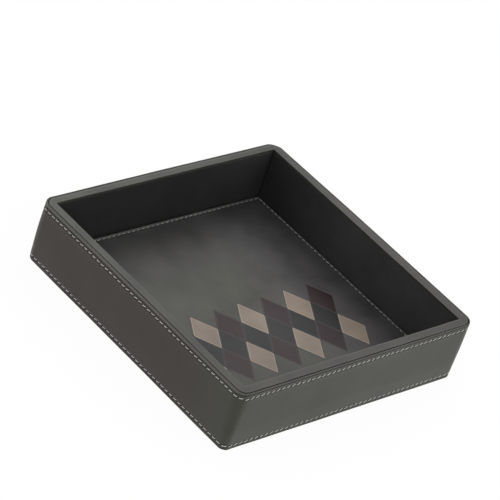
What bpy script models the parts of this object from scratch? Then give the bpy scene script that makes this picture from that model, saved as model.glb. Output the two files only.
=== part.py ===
"""Leather-covered valet tray.

A square tray of thin boards. A leather band wraps its outer walls, a leather rim lies on
their top edges, four leather linings face the inside, and a stitched leather panel covers
the floor. Lozenges of coloured leather are inlaid in that panel, and a felt panel covers
the underside.

Metres, +Z up, +X to the right along the front, +Y to the rear. The origin is the middle
of the underside.
"""

import math

import bmesh
import bpy
from mathutils import Vector

# Outside of the tray
LENGTH = 0.210                  # left to right
WIDTH = 0.210                   # front to rear
HEIGHT = 0.045
CORNER_RADIUS = 0.008           # upright outer corners

# Layers of a wall, from the outside inwards, and the leather on its top
BAND_THICKNESS = 0.0013
WALL_BOARD_THICKNESS = 0.0043
LINING_THICKNESS = 0.001
RIM_THICKNESS = 0.0012

# Layers of the bottom, from below
UNDERSIDE_THICKNESS = 0.0009
BAND_RISE = 0.0004              # of the band's lower edge above the underside
BASE_BOARD_THICKNESS = 0.002
FLOOR_THICKNESS = 0.0014

# Gaps between neighbouring pieces
GLUE_GAP = 0.0003               # faces that are glued together
FLOOR_CLEARANCE = 0.0004        # floor panel to the linings
BAND_SEAM = 0.0004              # ends of the band, which meet at the middle of the rear

# Rounded edges of the leather
BAND_EDGE_ROUNDING = 0.0007
RIM_EDGE_ROUNDING = 0.0006
FLOOR_EDGE_ROUNDING = 0.0004

# Stitching
STITCH_PITCH = 0.0044           # aimed at, and adjusted so that whole stitches fit
THREAD_DIAMETER = 0.0006
THREAD_PROUD = 0.0002           # of the leather's face, at the middle of a stitch
THREAD_DIP = 0.0002             # from there down to a needle hole
UPPER_STITCH_DROP = 0.0038      # below the top of the band
LOWER_STITCH_RISE = 0.0026      # above the band's lower edge
FLOOR_STITCH_INSET = 0.0017     # from the floor panel's edge

# Inlay of lozenges, in three staggered rows
LOZENGE_WIDTH = 0.021           # point to point, left to right
LOZENGE_DEPTH = 0.034           # point to point, front to rear
INLAY_SIDE_MARGIN = 0.022       # least distance from the lozenges to a side lining
INLAY_FRONT_MARGIN = 0.036      # from the lozenges to the front lining
INLAY_ROWS = 3

# Fineness of round shapes, and how far a cutter runs past what it cuts
CORNER_STEPS = 8
EDGE_STEPS = 2
SHARP_ANGLE = math.radians(35)
CUTTER_MARGIN = 0.002

# Heights that follow from the layers
wall_low = UNDERSIDE_THICKNESS + GLUE_GAP
wall_high = HEIGHT - RIM_THICKNESS - GLUE_GAP
base_high = wall_low + BASE_BOARD_THICKNESS
floor_low = base_high + GLUE_GAP
floor_high = floor_low + FLOOR_THICKNESS

# Insets from the outer faces that follow from the layers
board_outside = BAND_THICKNESS + GLUE_GAP
board_inside = board_outside + WALL_BOARD_THICKNESS
lining_outside = board_inside + GLUE_GAP
lining_inside = lining_outside + LINING_THICKNESS
floor_edge = lining_inside + FLOOR_CLEARANCE

# Threads, and the grooves that they lie in
thread_high = THREAD_PROUD - THREAD_DIAMETER / 2
thread_low = thread_high - THREAD_DIP
groove_width = THREAD_DIAMETER + 2 * GLUE_GAP
groove_depth = THREAD_DIAMETER / 2 - thread_low + GLUE_GAP
upper_stitch_height = HEIGHT - UPPER_STITCH_DROP
lower_stitch_height = BAND_RISE + LOWER_STITCH_RISE

# Each side's turn about +Z, its half length and its distance from the middle
SIDES = {
    "front": (0, LENGTH / 2, WIDTH / 2),
    "right": (90, WIDTH / 2, LENGTH / 2),
    "rear": (180, LENGTH / 2, WIDTH / 2),
    "left": (270, WIDTH / 2, LENGTH / 2),
}

# Colour, roughness and metallic value of each finish
FINISHES = {
    "charcoal_leather": ((0.060, 0.059, 0.055), 0.45, 0.0),
    "taupe_leather": ((0.270, 0.205, 0.155), 0.50, 0.0),
    "graphite_leather": ((0.036, 0.038, 0.036), 0.50, 0.0),
    "burgundy_leather": ((0.036, 0.016, 0.020), 0.50, 0.0),
    "linen_thread": ((0.420, 0.415, 0.380), 0.80, 0.0),
    "fibre_board": ((0.230, 0.150, 0.085), 0.90, 0.0),
    "felt": ((0.022, 0.022, 0.023), 0.95, 0.0),
}


def clear_scene():
    for obj in list(bpy.data.objects):
        bpy.data.objects.remove(obj, do_unlink=True)


def make_collection(name):
    collection = bpy.data.collections.new(name)
    bpy.context.scene.collection.children.link(collection)
    return collection


def new_object(name, bm, collection):
    """Object of a bmesh, which is freed, with its round faces shaded smooth."""
    mesh = bpy.data.meshes.new(name)
    bm.to_mesh(mesh)
    bm.free()
    mesh.shade_smooth()
    mesh.set_sharp_from_angle(angle=SHARP_ANGLE)
    obj = bpy.data.objects.new(name, mesh)
    collection.objects.link(obj)
    return obj


def as_piece(obj, finish):
    """Give a piece of the tray its own material."""
    colour, roughness, metallic = FINISHES[finish]
    material = bpy.data.materials.new(obj.name)
    material.use_nodes = True
    shader = material.node_tree.nodes["Principled BSDF"]
    shader.inputs["Base Color"].default_value = (*colour, 1.0)
    shader.inputs["Roughness"].default_value = roughness
    shader.inputs["Metallic"].default_value = metallic
    obj.data.materials.append(material)


def as_cutter(obj):
    obj.hide_render = True
    obj.display_type = "WIRE"
    return obj


def inset_slab(name, collection, inset, low, high, radius=0.0):
    """Slab whose outline lies inset from the tray's outer faces, with rounded corners."""
    bm = bmesh.new()
    size = (LENGTH - 2 * inset, WIDTH - 2 * inset, high - low)
    bmesh.ops.create_cube(bm, size=1.0)
    bmesh.ops.scale(bm, vec=size, verts=bm.verts)
    bmesh.ops.translate(bm, vec=(0, 0, (low + high) / 2), verts=bm.verts)
    if radius > 0:
        upright = [edge for edge in bm.edges if edge.verts[0].co.xy == edge.verts[1].co.xy]
        bmesh.ops.bevel(bm, geom=upright, offset=radius, segments=CORNER_STEPS,
                        affect="EDGES", profile=0.5)
    return new_object(name, bm, collection)


def prism(name, collection, outline, low, high):
    """Upright prism on an outline of (x, y) points."""
    bm = bmesh.new()
    base = bm.faces.new([bm.verts.new((x, y, low)) for x, y in outline])
    grown = bmesh.ops.extrude_face_region(bm, geom=[base])["geom"]
    top = [item for item in grown if isinstance(item, bmesh.types.BMVert)]
    bmesh.ops.translate(bm, vec=(0, 0, high - low), verts=top)
    bmesh.ops.recalc_face_normals(bm, faces=bm.faces[:])
    return new_object(name, bm, collection)


def boolean(target, tool, operation="DIFFERENCE"):
    modifier = target.modifiers.new(tool.name, "BOOLEAN")
    modifier.object = tool
    modifier.operation = operation
    modifier.solver = "EXACT"


def round_edges(target, rounding, wall):
    """Round the sharp edges, by less than half of the wall between them."""
    modifier = target.modifiers.new("rounding", "BEVEL")
    modifier.width = min(rounding, 0.45 * wall)
    modifier.segments = EDGE_STEPS
    modifier.limit_method = "ANGLE"
    modifier.angle_limit = SHARP_ANGLE


def ring_cutter(name, inset, width, low, high, radius):
    """Square ring whose outer outline lies at inset and whose bar is width wide."""
    ring = as_cutter(inset_slab(name, cutters, inset, low, high, max(radius - inset, 0)))
    core = as_cutter(inset_slab(name + "_core", cutters, inset + width, low - CUTTER_MARGIN,
                                high + CUTTER_MARGIN, max(radius - inset - width, 0)))
    boolean(ring, core)
    return ring


def side_wedge(side):
    """Space of one side's pieces, which meet their neighbours at 45 degrees."""
    turn, half_length, distance = SIDES[side]
    shift = GLUE_GAP / math.sqrt(2)
    reach = half_length + CUTTER_MARGIN - shift
    outline = [
        (-reach, -distance - CUTTER_MARGIN),
        (reach, -distance - CUTTER_MARGIN),
        (0, half_length - distance - shift),
    ]
    wedge = as_cutter(prism(side + "_wedge", cutters, outline, -CUTTER_MARGIN,
                            HEIGHT + CUTTER_MARGIN))
    wedge.rotation_euler.z = math.radians(turn)
    return wedge


def make_underside():
    """Felt panel that the tray stands on, under the boards and inside the band's lower edge."""
    panel = inset_slab("underside_panel", tray, board_outside, 0, UNDERSIDE_THICKNESS,
                       CORNER_RADIUS - board_outside)
    as_piece(panel, "felt")


def make_boards():
    """Base board, and four wall boards that stand round it with mitred ends."""
    base = inset_slab("base_board", tray, board_inside + GLUE_GAP, wall_low, base_high)
    as_piece(base, "fibre_board")
    inside = as_cutter(inset_slab("board_inside", cutters, board_inside,
                                  wall_low - CUTTER_MARGIN, wall_high + CUTTER_MARGIN))
    for side, wedge in wedges.items():
        board = inset_slab(side + "_wall_board", tray, board_outside, wall_low, wall_high,
                           CORNER_RADIUS - board_outside)
        boolean(board, inside)
        boolean(board, wedge, "INTERSECT")
        as_piece(board, "fibre_board")


def make_linings():
    """Leather on the inner face of each wall board."""
    inside = as_cutter(inset_slab("lining_inside", cutters, lining_inside,
                                  floor_low - CUTTER_MARGIN, wall_high + CUTTER_MARGIN))
    for side, wedge in wedges.items():
        lining = inset_slab(side + "_lining", tray, lining_outside, floor_low, wall_high)
        boolean(lining, inside)
        boolean(lining, wedge, "INTERSECT")
        as_piece(lining, "charcoal_leather")


def make_band():
    """Leather strip round the outer walls, butted at the middle of the rear, grooved twice."""
    band = inset_slab("outer_band", tray, 0, BAND_RISE, HEIGHT, CORNER_RADIUS)
    core = as_cutter(inset_slab("band_core", cutters, BAND_THICKNESS, -CUTTER_MARGIN,
                                HEIGHT + CUTTER_MARGIN, CORNER_RADIUS - BAND_THICKNESS))
    boolean(band, core)
    round_edges(band, BAND_EDGE_ROUNDING, BAND_THICKNESS)
    for row, height in (("upper", upper_stitch_height), ("lower", lower_stitch_height)):
        groove = ring_cutter(row + "_groove", -CUTTER_MARGIN, CUTTER_MARGIN + groove_depth,
                             height - groove_width / 2, height + groove_width / 2,
                             CORNER_RADIUS)
        boolean(band, groove)
    rear = WIDTH / 2
    seam_outline = [
        (-BAND_SEAM / 2, rear - BAND_THICKNESS - CUTTER_MARGIN / 2),
        (BAND_SEAM / 2, rear - BAND_THICKNESS - CUTTER_MARGIN / 2),
        (BAND_SEAM / 2, rear + CUTTER_MARGIN),
        (-BAND_SEAM / 2, rear + CUTTER_MARGIN),
    ]
    seam = prism("band_seam", cutters, seam_outline, -CUTTER_MARGIN, HEIGHT + CUTTER_MARGIN)
    boolean(band, as_cutter(seam))
    as_piece(band, "charcoal_leather")


def make_rim():
    """One leather frame on the top edges of the boards and linings."""
    rim = inset_slab("rim_leather", tray, board_outside, HEIGHT - RIM_THICKNESS, HEIGHT,
                     CORNER_RADIUS - board_outside)
    opening = as_cutter(inset_slab("rim_opening", cutters, lining_inside,
                                   wall_high - CUTTER_MARGIN, HEIGHT + CUTTER_MARGIN))
    boolean(rim, opening)
    round_edges(rim, RIM_EDGE_ROUNDING, RIM_THICKNESS)
    as_piece(rim, "charcoal_leather")


def inlay_columns():
    """Lozenges that fit in a full row between the side linings."""
    room = LENGTH - 2 * lining_inside - 2 * INLAY_SIDE_MARGIN
    return max(2, int(room / LOZENGE_WIDTH))


def inlay_middle():
    """Middle of the inlay, from front to rear."""
    front = -WIDTH / 2 + lining_inside + INLAY_FRONT_MARGIN
    return front + (INLAY_ROWS + 1) * LOZENGE_DEPTH / 4


def inlay_outline(columns, grow):
    """Zigzag outline of the inlay, pushed out by grow."""
    half_width, half_depth = LOZENGE_WIDTH / 2, LOZENGE_DEPTH / 2
    slant = math.hypot(half_width, half_depth)
    push_x = grow * slant / half_depth
    push_y = grow * slant / half_width
    middle = inlay_middle()
    side = columns * half_width + push_x
    corners = (INLAY_ROWS - 1) * half_depth / 2
    tips = corners + half_depth

    def zigzag(sign):
        """Front edge from left to right for a sign of -1, rear edge back for +1."""
        points = [(sign * side, middle + sign * corners)]
        for step in range(1, 2 * columns):
            height = tips if step % 2 else corners
            points.append((sign * (columns - step) * half_width,
                           middle + sign * (height + push_y)))
        points.append((-sign * side, middle + sign * corners))
        return points

    notch = (columns - 1) * half_width + push_x
    return zigzag(-1) + [(notch, middle)] + zigzag(1) + [(-notch, middle)]


def make_floor():
    """Leather panel on the base board, grooved for its stitches and cut out for the inlay."""
    floor = inset_slab("floor_leather", tray, floor_edge, floor_low, floor_high)
    round_edges(floor, FLOOR_EDGE_ROUNDING, FLOOR_THICKNESS)
    groove = ring_cutter("floor_groove", floor_edge + FLOOR_STITCH_INSET - groove_width / 2,
                         groove_width, floor_high - groove_depth, floor_high + CUTTER_MARGIN,
                         0)
    boolean(floor, groove)
    window = prism("inlay_window", cutters, inlay_outline(inlay_columns(), GLUE_GAP / 2),
                   floor_low - CUTTER_MARGIN, floor_high + CUTTER_MARGIN)
    boolean(floor, as_cutter(window))
    as_piece(floor, "charcoal_leather")


def inlay_colour(row, place):
    """Graphite in the staggered middle row, taupe and burgundy by turns in the others."""
    if row % 2:
        return "graphite"
    return "taupe" if (place + row // 2) % 2 == 0 else "burgundy"


def make_inlay():
    """Lozenges that fill the floor panel's window, a glue gap apart."""
    half_width, half_depth = LOZENGE_WIDTH / 2, LOZENGE_DEPTH / 2
    shrink = 1 - GLUE_GAP / 2 * math.hypot(half_width, half_depth) / (half_width * half_depth)
    columns = inlay_columns()
    counts = {}
    for row in range(INLAY_ROWS):
        places = columns - row % 2
        for place in range(places):
            colour = inlay_colour(row, place)
            counts[colour] = counts.get(colour, 0) + 1
            bm = bmesh.new()
            bmesh.ops.create_cone(bm, segments=4, radius1=1, radius2=1, depth=FLOOR_THICKNESS,
                                  cap_ends=True)
            bmesh.ops.scale(bm, vec=(half_width * shrink, half_depth * shrink, 1),
                            verts=bm.verts)
            lozenge = new_object(f"inlay_{colour}_{counts[colour]}", bm, tray)
            lozenge.location = (
                (place - (places - 1) / 2) * LOZENGE_WIDTH,
                inlay_middle() + (row - (INLAY_ROWS - 1) / 2) * half_depth,
                (floor_low + floor_high) / 2,
            )
            as_piece(lozenge, colour + "_leather")


def heading_vector(heading):
    return Vector((math.cos(heading), math.sin(heading), 0))


def walk_round(distance, radius):
    """Point and heading at a distance along the tray's outline, seen from above.

    The walk starts at the middle of the rear side and goes round by the left side."""
    half_x = LENGTH / 2 - radius
    half_y = WIDTH / 2 - radius
    quarter = radius * math.pi / 2
    point = Vector((0, WIDTH / 2, 0))
    heading = math.pi
    for straight in (half_x, 2 * half_y, 2 * half_x, 2 * half_y):
        if distance <= straight:
            break
        point += heading_vector(heading) * straight
        distance -= straight
        centre = point + heading_vector(heading + math.pi / 2) * radius
        turned = min(distance, quarter)
        heading += turned / radius
        point = centre + heading_vector(heading - math.pi / 2) * radius
        distance -= turned
        if turned < quarter:
            break
    return point + heading_vector(heading) * distance, heading


def thread_point(face_point, outward, step):
    """Place of the thread at a half stitch: low in the needle holes, high between them."""
    return face_point + outward * (thread_high if step % 2 else thread_low)


def new_thread(name, points):
    """One thread, as a closed tube of four sides through its points."""
    curve = bpy.data.curves.new(name, "CURVE")
    curve.dimensions = "3D"
    curve.twist_mode = "Z_UP"
    curve.bevel_depth = THREAD_DIAMETER / 2
    curve.bevel_resolution = 0
    spline = curve.splines.new("POLY")
    spline.points.add(len(points) - 1)
    for place, point in zip(spline.points, points):
        place.co = (*point, 1)
    spline.use_cyclic_u = True
    thread = bpy.data.objects.new(name, curve)
    tray.objects.link(thread)
    as_piece(thread, "linen_thread")


def make_band_stitching(name, height):
    """Stitches right round the band at a height."""
    perimeter = 2 * (LENGTH + WIDTH) - (8 - 2 * math.pi) * CORNER_RADIUS
    count = round(perimeter / STITCH_PITCH)
    points = []
    for step in range(2 * count):
        point, heading = walk_round(step * perimeter / (2 * count), CORNER_RADIUS)
        point.z = height
        points.append(thread_point(point, heading_vector(heading - math.pi / 2), step))
    new_thread(name, points)


def make_floor_stitching():
    """Stitches along the four edges of the floor panel."""
    inset = floor_edge + FLOOR_STITCH_INSET
    up = Vector((0, 0, 1))
    points = []
    for turn, half_length, distance in SIDES.values():
        heading = math.radians(turn)
        run = 2 * (half_length - inset)
        start = heading_vector(heading - math.pi / 2) * (distance - inset)
        start -= heading_vector(heading) * run / 2
        start.z = floor_high
        steps = 2 * round(run / STITCH_PITCH)
        for step in range(steps):
            point = start + heading_vector(heading) * (run * step / steps)
            points.append(thread_point(point, up, step))
    new_thread("floor_stitching", points)


clear_scene()
tray = make_collection("Valet tray")
cutters = make_collection("Cutters")
wedges = {side: side_wedge(side) for side in SIDES}

make_underside()
make_boards()
make_linings()
make_band()
make_rim()
make_floor()
make_inlay()
make_band_stitching("upper_stitching", upper_stitch_height)
make_band_stitching("lower_stitching", lower_stitch_height)
make_floor_stitching()
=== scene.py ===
"""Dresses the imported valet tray: its leather, thread and felt, a white studio and the camera.

Distances are in metres. The front of the tray faces -Y, its left side -X, and it stands on z = 0.
"""

import math

import bmesh
import bpy
import numpy as np
from mathutils import Matrix, Vector


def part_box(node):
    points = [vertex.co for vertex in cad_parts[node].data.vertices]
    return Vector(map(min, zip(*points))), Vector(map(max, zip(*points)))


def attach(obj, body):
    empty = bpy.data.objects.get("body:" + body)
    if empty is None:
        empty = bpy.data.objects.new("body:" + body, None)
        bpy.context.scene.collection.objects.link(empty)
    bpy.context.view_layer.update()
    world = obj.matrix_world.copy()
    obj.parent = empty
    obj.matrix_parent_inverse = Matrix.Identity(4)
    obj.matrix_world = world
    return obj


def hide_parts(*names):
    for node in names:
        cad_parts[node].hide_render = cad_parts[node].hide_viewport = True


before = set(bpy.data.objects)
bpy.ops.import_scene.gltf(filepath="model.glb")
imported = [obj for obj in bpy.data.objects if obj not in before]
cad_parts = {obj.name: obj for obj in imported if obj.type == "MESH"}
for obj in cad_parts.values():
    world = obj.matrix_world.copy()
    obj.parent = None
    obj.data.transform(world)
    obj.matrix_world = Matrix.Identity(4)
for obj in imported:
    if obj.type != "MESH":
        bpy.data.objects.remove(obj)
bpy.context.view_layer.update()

MM = 0.001

# Camera: where it stands, seen from the point that it looks at
CAMERA_TARGET = (4.86 * MM, 14.86 * MM, 42.15 * MM)
CAMERA_AZIMUTH = -141.727
CAMERA_ELEVATION = 33.531
CAMERA_ROLL = 19.688
CAMERA_DISTANCE = 1.9668
CAMERA_LENS = 215.18

# Studio: each softbox has a direction and a radiance
FLOOR_SIZE = 5.0
FLOOR_WHITE = 0.94
FLOOR_GLOW = 0.95
SOFTBOX_SIZE = 1.1
SOFTBOX_AWAY = 1.7
REAR_SOFTBOX = ((0.65, 0.52, 0.55), 0.55)
FRONT_SOFTBOX = ((0.55, -0.72, 0.42), 1.2)

# Stitches: a reach is a share of the pitch, a slant is in degrees, and both are given for rows along X
# and for rows along Y
BAND_STITCHES = 188
FLOOR_STITCHES = 44
THREAD_WIDTH = 0.47 * MM
BAND_REACHES = (0.64, 0.73)
BAND_SLANTS = (27.0, 5.0)
FLOOR_REACHES = (0.735, 0.735)
FLOOR_SLANTS = (8.0, 5.0)
PLY_LENGTH = 1.0 * MM
FLOOR_ROW = 95.7 * MM

# How far each row on the band hangs below its level, along the left and along the front
UPPER_DROPS = (
    (
        (-60 * MM, -42 * MM, 40 * MM, 66 * MM, 92 * MM),
        (-0.22 * MM, 0.0, 0.05 * MM, -0.02 * MM, 0.22 * MM),
    ),
    ((-30 * MM, 0.0, 20 * MM, 60 * MM), (0.60 * MM, 0.08 * MM, 0.15 * MM, -0.05 * MM)),
)
LOWER_DROPS = (
    (
        (-84 * MM, -18 * MM, 10 * MM, 50 * MM, 80 * MM),
        (-0.08 * MM, 0.26 * MM, 0.05 * MM, -0.02 * MM, -0.25 * MM),
    ),
    ((-30 * MM, 0.0), (0.32 * MM, -0.10 * MM)),
)

# How a row draws in the leather: a groove, a pit at both ends of a stitch, and a puff on either side
GROOVE_DEPTH = 0.28 * MM
GROOVE_WIDTH = 0.58 * MM
PIT_DEPTH = 0.45 * MM
PIT_WIDTH = 0.32 * MM
PIT_REACH = 0.92
PUFF_HEIGHT = 0.11 * MM
PUFF_WIDTH = 0.9 * MM
PUFF_AWAY = 1.7 * MM
BAND_THREAD_SINK = 0.22 * MM
FLOOR_THREAD_SINK = 0.28 * MM

# Leather band round the walls: here and below, four values are for the rear, the left, the front and
# the right, or for the corners after them, and a pair of lists holds places and the values there
BAND_CORNER = 8.0 * MM
BAND_THICKNESS = 1.3 * MM
BAND_SEAM = 0.06 * MM
LIP_ROUND = 0.30 * MM
LIP_INNER_ROUND = 0.25 * MM
LIP_WIDTHS = (1.2 * MM, 1.35 * MM, 0.88 * MM, 1.2 * MM)
LIP_GAPS = (0.15 * MM, 0.45 * MM, 0.45 * MM, 0.08 * MM)
GAP_CLOSING = ((55 * MM, 92 * MM), (1.0, 0.3))
CORNER_SHIFTS_FOOT = (-0.35 * MM, 1.5 * MM, -0.70 * MM, -0.5 * MM)
CORNER_SHIFTS_MIDDLE = (0.35 * MM, 0.92 * MM, 0.05 * MM, 0.0)
CORNER_SHIFTS_TOP = (-0.35 * MM, 0.35 * MM, -0.15 * MM, -0.6 * MM)
WALL_BOWS = (0.12 * MM, -0.12 * MM, 0.05 * MM, 0.25 * MM)
CREASE_DROP = 1.8 * MM
CREASE_SHIFTS = (0.0, 0.2 * MM, -0.95 * MM, -0.2 * MM)
CREASE_DEPTH = 0.35 * MM
CREASE_WIDTH = 0.18 * MM
LIP_TUCK = 0.9 * MM
# Painted highlight on the lip, for each side, and how far down it reaches
LIP_SHEEN = (0.8, 0.85, 0.42, 0.8)
LIP_SHEEN_REACH = 1.15 * MM
# Painted light bounced from the floor, low on the face, for each side, at a height and over a width
FOOT_SHEEN = (0.0, 0.03, 0.13, 0.05)
FOOT_SHEEN_HEIGHT = 7.5 * MM
FOOT_SHEEN_WIDTH = 4.5 * MM
BAND_FOOT = 0.03 * MM
FOOT_ROUND = 0.1 * MM

# Leather rim, linings and floor
RIM_INNER_CORNER = 0.9 * MM
RIM_INNER_ROUND = 0.35 * MM
RIM_OUTER_ROUND = 0.30 * MM
RIM_OVERHANG_LEFT = 0.5 * MM
RIM_OVERHANG_FRONT = 0.4 * MM
RIM_SETBACK_REAR = 0.3 * MM
RIM_OVERHANG_RIGHT = ((-95 * MM, 60 * MM), (1.2 * MM, 0.0))
# Painted highlights along the rim's inner and outer edges, for each side
RIM_INNER_SHEEN = (0.0, 0.35, 0.40, 0.10)
RIM_OUTER_SHEEN = (0.50, 0.20, 0.10, 0.20)
LINING_ROUND = 0.3 * MM
FLOOR_ROUND = 0.5 * MM
FLOOR_MARGIN = 12.0 * MM
FLOOR_WELTS = (0.30 * MM, 0.10 * MM, 0.10 * MM, 0.05 * MM)
# Painted shade along the floor's seam, for each side
FLOOR_SEAM_SHADES = (0.6, 0.6, 0.6, 0.95)
RIGHT_SEAM_SINK = 0.12 * MM

# How far in the floor's seam was sewn, at both ends of the rear and both ends of the right
REAR_SEAM_DRIFT = (0.95 * MM, 0.15 * MM)
RIGHT_SEAM_DRIFT = (0.35 * MM, -0.75 * MM)

# Inlay
LOZENGE_WIDTH = 21.0 * MM
LOZENGE_DEPTH = 34.0 * MM
LOZENGE_CUT = 0.7 * MM
INLAY_FRONT = -61.8 * MM
INLAY_GAP = 0.04 * MM
INLAY_ROUND = 0.16 * MM

# The rows of the inlay from the front: how many lozenges, and the colours that take turns
INLAY_ROWS = ((7, ("taupe", "burgundy")), (6, ("graphite", "graphite")), (7, ("burgundy", "taupe")))


# Meshes

def skin(rows, columns, wrap_rows=False, wrap_columns=False, capped=False, first=0):
    """Four-sided faces over a grid of points that is numbered row by row, and caps on its open ends."""
    number = np.arange(first, first + rows * columns).reshape(rows, columns)
    below = np.roll(number, -1, axis=0)
    corners = np.stack([number, np.roll(number, -1, axis=1), np.roll(below, -1, axis=1), below], axis=-1)
    corners = corners[:rows if wrap_rows else rows - 1, :columns if wrap_columns else columns - 1]
    faces = corners.reshape(-1, 4).tolist()
    if capped:
        ends = (number[:, 0], number[:, -1]) if wrap_rows else (number[0], number[-1])
        faces += [end.tolist() for end in ends]
    return faces


def place_piece(name, mesh, material, nodes):
    """Puts a smooth mesh into the scene, where it stands for the nodes."""
    mesh.polygons.foreach_set("use_smooth", np.ones(len(mesh.polygons), bool))
    mesh.materials.append(material)
    piece = bpy.data.objects.new(name, mesh)
    bpy.context.scene.collection.objects.link(piece)
    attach(piece, "root")
    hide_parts(*nodes)


def add_piece(name, points, faces, material, slot, nodes, **marks):
    """A piece made of points and faces. Each mark is a value from 0 to 1 at every point."""
    mesh = bpy.data.meshes.new(name)
    mesh.from_pydata(np.asarray(points).reshape(-1, 3).tolist(), [], faces)
    built = bmesh.new()
    built.from_mesh(mesh)
    bmesh.ops.recalc_face_normals(built, faces=built.faces)
    built.to_mesh(mesh)
    built.free()
    for mark, values in marks.items():
        layer = mesh.attributes.new(mark, "FLOAT", "POINT")
        layer.data.foreach_set("value", np.asarray(values, np.float32).reshape(-1))
    place_piece(name, mesh, material, nodes)


class RoundedSquare:
    """A path round a square with rounded corners, from the rear middle and past the left side first."""

    def __init__(self, half, radius):
        self.radius = radius
        self.straight = half - radius
        self.side = 2 * self.straight + radius * math.pi / 2
        self.length = 4 * self.side

    def parts(self, walked):
        """The side that each distance falls on, the way along it, and the share turned of its corner."""
        along = np.asarray(walked) + self.straight
        side = np.floor(along / self.side)
        rest = along - side * self.side
        turned = np.clip(rest - 2 * self.straight, 0, None) / (self.radius * math.pi / 2)
        return side.astype(int) % 4, rest, turned

    def at(self, walked):
        """The points after those distances, the ways out there and the headings."""
        side, rest, turned = self.parts(walked)
        angle = math.pi + side * math.pi / 2
        ahead = np.stack([np.cos(angle), np.sin(angle)], axis=-1)
        out = np.stack([np.sin(angle), -np.cos(angle)], axis=-1)
        turn = (turned * math.pi / 2)[..., None]
        forth = (np.minimum(rest, 2 * self.straight) - self.straight)[..., None]
        way = out * np.cos(turn) + ahead * np.sin(turn)
        point = out * self.straight + ahead * forth + way * self.radius
        return point, way, ahead * np.cos(turn) - out * np.sin(turn)


def by_side(path, walked, values):
    """A value for the rear, the left, the front and the right, blended round the corners."""
    side, _, turned = path.parts(walked)
    values = np.asarray(values)
    return values[side] * (1 - turned) + values[(side + 1) % 4] * turned


def wall_shift(path, walked, height):
    """How far the walls stand out past a plain path: no two corners are alike, and the sides bow."""
    side, rest, turned = path.parts(walked)
    foot = np.array(CORNER_SHIFTS_FOOT)[side]
    middle = np.array(CORNER_SHIFTS_MIDDLE)[side]
    top = np.array(CORNER_SHIFTS_TOP)[side]
    up = np.clip(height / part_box("outer_band")[1].z, 0, 1)
    corner = 2 * foot * (up - 0.5) * (up - 1) + 4 * middle * up * (1 - up) + 2 * top * up * (up - 0.5)
    forth = np.minimum(rest, 2 * path.straight) / path.straight - 1
    bow = by_side(path, walked, WALL_BOWS) * np.cos(math.pi * forth)
    return corner * np.sin(math.pi * turned) ** 2 + bow


def lift(flat, height=0.0):
    """Points or directions in the plane, with a height added."""
    height = np.broadcast_to(height, flat.shape[:-1])
    return np.concatenate([flat, height[..., None]], axis=-1)


def sweep(path, walked, out, height):
    """Rows of points at those distances out from the path, at those heights."""
    point, way, _ = path.at(walked)
    return lift(point + way * np.broadcast_to(out, (len(out), len(walked)))[..., None], height)


def quarter_turned(points, turns):
    """Points turned counterclockwise about the upright axis, by so many right angles."""
    return points @ np.array(Matrix.Rotation(turns * math.pi / 2, 3, "Z")).T


def upward(points):
    return np.broadcast_to((0.0, 0.0, 1.0), points.shape)


def unit(vectors):
    return vectors / np.linalg.norm(vectors, axis=1)[:, None]


def arc(centre, radius, start, end, count):
    """Points on an arc, from one angle in degrees to another."""
    angle = np.radians(np.linspace(start, end, count))
    return np.stack([centre[0] + radius * np.cos(angle), centre[1] + radius * np.sin(angle)], axis=-1)


def bell(distance, width):
    """A value that is 1 at no distance and falls away softly past the width."""
    return np.exp(-(distance / width) ** 2)


def unevenness(across, along, seed, wavelength, around=None):
    """Soft waves of about unit size. around is the distance after which they repeat along."""
    random = np.random.default_rng(seed)
    total = np.zeros(np.broadcast_shapes(np.shape(across), np.shape(along)))
    for _ in range(10):
        size = wavelength * random.uniform(0.7, 1.8)
        angle = random.uniform(0, math.pi)
        along_rate = 2 * math.pi * math.cos(angle) / size
        if around:
            along_rate = round(along_rate * around / (2 * math.pi)) * 2 * math.pi / around
        across_rate = 2 * math.pi * math.sin(angle) / size
        total = total + np.sin(along * along_rate + across * across_rate + random.uniform(0, 6.3))
    return total / 3.0


# Materials

def new_material(name):
    material = bpy.data.materials.new(name)
    material.use_nodes = True
    return material, material.node_tree, material.node_tree.nodes["Principled BSDF"]


def add_node(tree, kind, inputs=(), **settings):
    """A shader node. Each input is a value or the output of another node."""
    node = tree.nodes.new(kind)
    for setting, value in settings.items():
        setattr(node, setting, value)
    for socket, value in dict(inputs).items():
        if isinstance(value, bpy.types.NodeSocket):
            tree.links.new(value, node.inputs[socket])
        else:
            node.inputs[socket].default_value = value
    return node


def add_noise(tree, place, scale, detail=2.0, roughness=0.5):
    inputs = {"Vector": place, "Scale": scale, "Detail": detail, "Roughness": roughness}
    return add_node(tree, "ShaderNodeTexNoise", inputs).outputs["Fac"]


def add_range(tree, value, low, high, to_low, to_high):
    inputs = {"Value": value, "From Min": low, "From Max": high, "To Min": to_low, "To Max": to_high}
    return add_node(tree, "ShaderNodeMapRange", inputs).outputs["Result"]


def add_blend(tree, share, first, second):
    """A colour between two. Each is a colour or the output of a node."""
    node = add_node(tree, "ShaderNodeMix", {"Factor": share}, data_type="RGBA")
    for socket, value in (("A_Color", first), ("B_Color", second)):
        place = next(i for i in node.inputs if i.identifier == socket)
        if isinstance(value, bpy.types.NodeSocket):
            tree.links.new(value, place)
        else:
            place.default_value = (*value, 1.0)
    return next(o for o in node.outputs if o.identifier == "Result_Color")


def add_math(tree, kind, first, second):
    return add_node(tree, "ShaderNodeMath", {0: first, 1: second}, operation=kind).outputs[0]


def add_vector(tree, kind, inputs, output="Vector"):
    return add_node(tree, "ShaderNodeVectorMath", inputs, operation=kind).outputs[output]


def add_stretch(tree, place, scale):
    return add_node(tree, "ShaderNodeMapping", {"Vector": place, "Scale": scale}).outputs["Vector"]


def add_mark(tree, mark):
    """The values of a mark that the points of a piece carry."""
    return add_node(tree, "ShaderNodeAttribute", attribute_name=mark).outputs["Fac"]


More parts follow.
